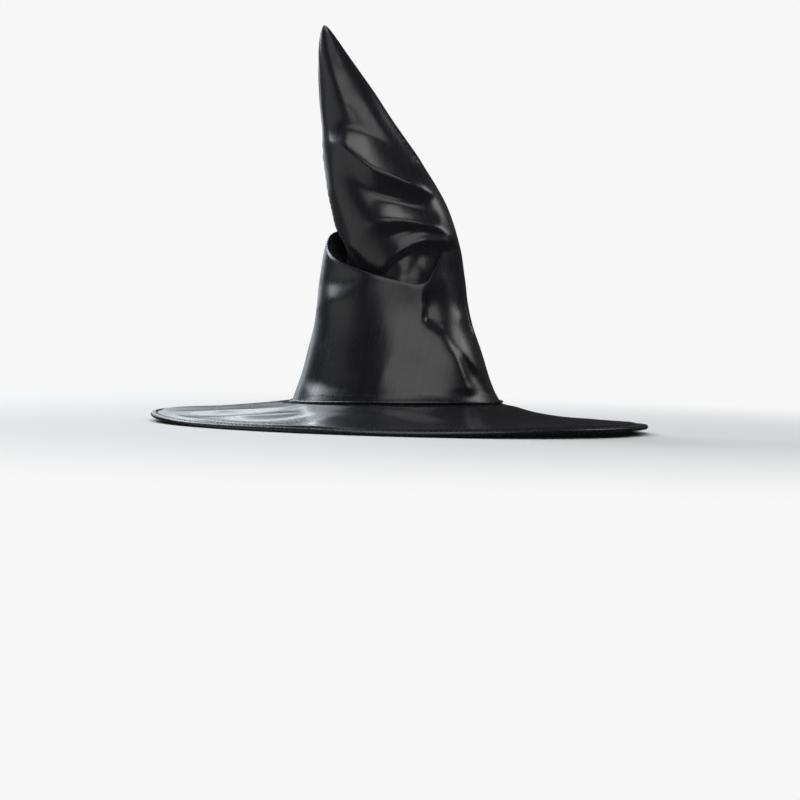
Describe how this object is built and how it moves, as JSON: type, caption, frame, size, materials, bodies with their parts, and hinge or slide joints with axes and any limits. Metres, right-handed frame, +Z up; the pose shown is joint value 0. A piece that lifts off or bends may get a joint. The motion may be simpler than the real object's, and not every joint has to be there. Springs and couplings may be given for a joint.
{
  "type": "witch hat",
  "caption": "Pointed costume hat in black satin: round wired brim, tall soft crown that slouches to one side at a fold, sweatband and lining inside.",
  "frame": {"origin": "centre of the brim's outline, at the height of the brim's two lowest edge arcs", "axes": "+Z up through the crown, -Y to the wearer's front, +X to the wearer's left"},
  "size_m": [0.42, 0.42, 0.337],
  "materials": {
    "black_satin": "black polyester satin with a strong sheen",
    "black_lining": "thin plain-weave lining",
    "black_ribbon": "ribbed grosgrain ribbon",
    "black_thread": "spun polyester thread",
    "brim_foam": "thin foam-backed nonwoven",
    "stiffener_felt": "needled nonwoven felt",
    "wire_steel": "drawn spring wire and crimped sleeve",
    "label_cloth": "blank white woven label"
  },
  "bodies": {
    "base": {"brim_top": "black_satin", "brim_core": "brim_foam", "brim_bottom": "black_satin", "brim_wire": "wire_steel", "wire_ferrule": "wire_steel", "edge_binding": "black_satin", "edge_stitching": "black_thread", "crown_lower": "black_satin", "crown_fold": "black_satin", "crown_stiffener": "stiffener_felt", "lining_lower": "black_lining", "lining_fold": "black_lining", "back_tape_lower": "black_ribbon", "base_piping": "black_satin", "crown_stitching": "black_thread", "seam_tape": "black_ribbon", "sweatband": "black_ribbon", "sweatband_stitching": "black_thread", "care_label": "label_cloth"},
    "point": {"crown_tip": "black_satin", "lining_tip": "black_lining", "back_tape_tip": "black_ribbon"}
  },
  "joints": [
    {"name": "crown_slouch", "type": "hinge", "parent": "base", "child": "point", "pos_m": [0, 0.007, 0.14], "axis": [-0.4226, -0.9063, 0], "range_deg": [-20, 40], "deforming": ["crown_fold", "lining_fold"]}
  ]
}
